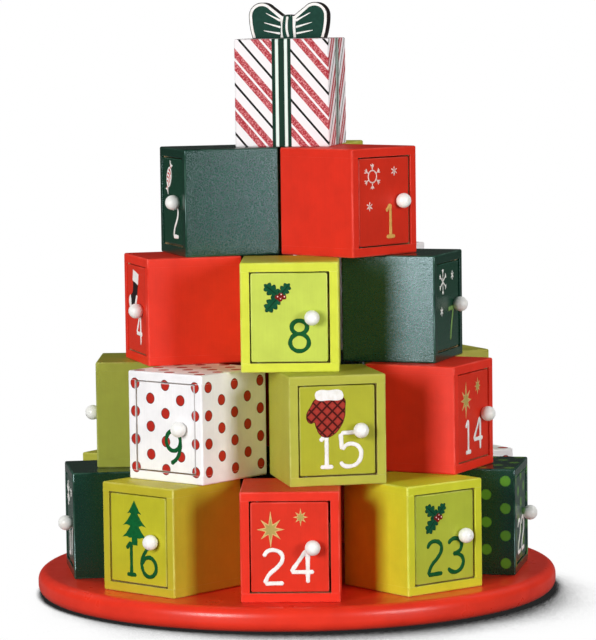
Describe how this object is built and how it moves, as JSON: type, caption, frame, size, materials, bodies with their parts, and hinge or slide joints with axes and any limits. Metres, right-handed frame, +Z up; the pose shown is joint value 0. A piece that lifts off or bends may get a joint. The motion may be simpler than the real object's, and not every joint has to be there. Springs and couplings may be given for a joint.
{
  "type": "wooden advent calendar",
  "caption": "Round base with stacked rings of painted wooden boxes, each with a hinged numbered door and ball knob, topped by a gift box and bow.",
  "frame": {"origin": "centre of the base plate's underside, where it rests on a table", "axes": "+Z up the tower, -Y to the front, where door 24 faces, +X to the right seen from the front"},
  "size_m": [0.353, 0.353, 0.3982],
  "materials": {
    "red_gloss": "gloss red paint",
    "red_paint": "satin red paint",
    "lime_paint": "satin lime paint",
    "green_paint": "satin dark green paint",
    "white_paint": "satin white paint",
    "bare_wood": "unpainted board",
    "brad_steel": "bright steel wire"
  },
  "bodies": {
    "tower": {"base_plate": "red_gloss", "box_01": "red_paint", "box_02": "green_paint", "box_03": "lime_paint", "box_04": "red_paint", "box_05": "green_paint", "box_06": "white_paint", "box_07": "green_paint", "box_08": "lime_paint", "box_09": "white_paint", "box_10": "lime_paint", "box_11": "red_paint", "box_12": "green_paint", "box_13": "lime_paint", "box_14": "red_paint", "box_15": "lime_paint", "box_16": "lime_paint", "box_17": "green_paint", "box_18": "lime_paint", "box_19": "green_paint", "box_20": "red_paint", "box_21": "white_paint", "box_22": "green_paint", "box_23": "lime_paint", "box_24": "red_paint", "hinge_pins": "brad_steel", "door_stops": "bare_wood", "gift_box": "white_paint", "gift_bow": "green_paint"},
    "door_01": {"door_01": "red_paint"},
    "door_02": {"door_02": "green_paint"},
    "door_03": {"door_03": "lime_paint"},
    "door_04": {"door_04": "red_paint"},
    "door_05": {"door_05": "green_paint"},
    "door_06": {"door_06": "white_paint"},
    "door_07": {"door_07": "green_paint"},
    "door_08": {"door_08": "lime_paint"},
    "door_09": {"door_09": "white_paint"},
    "door_10": {"door_10": "lime_paint"},
    "door_11": {"door_11": "red_paint"},
    "door_12": {"door_12": "green_paint"},
    "door_13": {"door_13": "lime_paint"},
    "door_14": {"door_14": "red_paint"},
    "door_15": {"door_15": "lime_paint"},
    "door_16": {"door_16": "lime_paint"},
    "door_17": {"door_17": "green_paint"},
    "door_18": {"door_18": "lime_paint"},
    "door_19": {"door_19": "green_paint"},
    "door_20": {"door_20": "red_paint"},
    "door_21": {"door_21": "white_paint"},
    "door_22": {"door_22": "green_paint"},
    "door_23": {"door_23": "lime_paint"},
    "door_24": {"door_24": "red_paint"}
  },
  "joints": [
    {"name": "door_01_swing", "type": "hinge", "parent": "tower", "child": "door_01", "pos_m": [0.04464, -0.06993, 0.26625], "axis": [0, 0, -1], "range_deg": [0, 110]},
    {"name": "door_02_swing", "type": "hinge", "parent": "tower", "child": "door_02", "pos_m": [-0.08288, -0.00369, 0.26625], "axis": [0, 0, -1], "range_deg": [0, 110]},
    {"name": "door_03_swing", "type": "hinge", "parent": "tower", "child": "door_03", "pos_m": [0.03824, 0.07362, 0.26625], "axis": [0, 0, -1], "range_deg": [0, 110]},
    {"name": "door_04_swing", "type": "hinge", "parent": "tower", "child": "door_04", "pos_m": [-0.108, -0.01079, 0.19475], "axis": [0, 0, -1], "range_deg": [0, 110]},
    {"name": "door_05_swing", "type": "hinge", "parent": "tower", "child": "door_05", "pos_m": [-0.04364, 0.09938, 0.19475], "axis": [0, 0, -1], "range_deg": [0, 110]},
    {"name": "door_06_swing", "type": "hinge", "parent": "tower", "child": "door_06", "pos_m": [0.08103, 0.07221, 0.19475], "axis": [0, 0, -1], "range_deg": [0, 110]},
    {"name": "door_07_swing", "type": "hinge", "parent": "tower", "child": "door_07", "pos_m": [0.09372, -0.05475, 0.19475], "axis": [0, 0, -1], "range_deg": [0, 110]},
    {"name": "door_08_swing", "type": "hinge", "parent": "tower", "child": "door_08", "pos_m": [-0.02311, -0.10605, 0.19475], "axis": [0, 0, -1], "range_deg": [0, 110]},
    {"name": "door_09_swing", "type": "hinge", "parent": "tower", "child": "door_09", "pos_m": [-0.09824, -0.08689, 0.12325], "axis": [0, 0, -1], "range_deg": [0, 110]},
    {"name": "door_10_swing", "type": "hinge", "parent": "tower", "child": "door_10", "pos_m": [-0.12919, 0.02263, 0.12325], "axis": [0, 0, -1], "range_deg": [0, 110]},
    {"name": "door_11_swing", "type": "hinge", "parent": "tower", "child": "door_11", "pos_m": [-0.06285, 0.11511, 0.12325], "axis": [0, 0, -1], "range_deg": [0, 110]},
    {"name": "door_12_swing", "type": "hinge", "parent": "tower", "child": "door_12", "pos_m": [0.05081, 0.12091, 0.12325], "axis": [0, 0, -1], "range_deg": [0, 110]},
    {"name": "door_13_swing", "type": "hinge", "parent": "tower", "child": "door_13", "pos_m": [0.12621, 0.03566, 0.12325], "axis": [0, 0, -1], "range_deg": [0, 110]},
    {"name": "door_14_swing", "type": "hinge", "parent": "tower", "child": "door_14", "pos_m": [0.10657, -0.07644, 0.12325], "axis": [0, 0, -1], "range_deg": [0, 110]},
    {"name": "door_15_swing", "type": "hinge", "parent": "tower", "child": "door_15", "pos_m": [0.00668, -0.13098, 0.12325], "axis": [0, 0, -1], "range_deg": [0, 110]},
    {"name": "door_16_swing", "type": "hinge", "parent": "tower", "child": "door_16", "pos_m": [-0.1159, -0.09976, 0.05175], "axis": [0, 0, -1], "range_deg": [0, 110]},
    {"name": "door_17_swing", "type": "hinge", "parent": "tower", "child": "door_17", "pos_m": [-0.15291, -0.00192, 0.05175], "axis": [0, 0, -1], "range_deg": [0, 110]},
    {"name": "door_18_swing", "type": "hinge", "parent": "tower", "child": "door_18", "pos_m": [-0.11837, 0.09682, 0.05175], "axis": [0, 0, -1], "range_deg": [0, 110]},
    {"name": "door_19_swing", "type": "hinge", "parent": "tower", "child": "door_19", "pos_m": [-0.02845, 0.15026, 0.05175], "axis": [0, 0, -1], "range_deg": [0, 110]},
    {"name": "door_20_swing", "type": "hinge", "parent": "tower", "child": "door_20", "pos_m": [0.07479, 0.13339, 0.05175], "axis": [0, 0, -1], "range_deg": [0, 110]},
    {"name": "door_21_swing", "type": "hinge", "parent": "tower", "child": "door_21", "pos_m": [0.14303, 0.05411, 0.05175], "axis": [0, 0, -1], "range_deg": [0, 110]},
    {"name": "door_22_swing", "type": "hinge", "parent": "tower", "child": "door_22", "pos_m": [0.14435, -0.05049, 0.05175], "axis": [0, 0, -1], "range_deg": [0, 110]},
    {"name": "door_23_swing", "type": "hinge", "parent": "tower", "child": "door_23", "pos_m": [0.07812, -0.13146, 0.05175], "axis": [0, 0, -1], "range_deg": [0, 110]},
    {"name": "door_24_swing", "type": "hinge", "parent": "tower", "child": "door_24", "pos_m": [-0.02466, -0.15092, 0.05175], "axis": [0, 0, -1], "range_deg": [0, 110]}
  ]
}
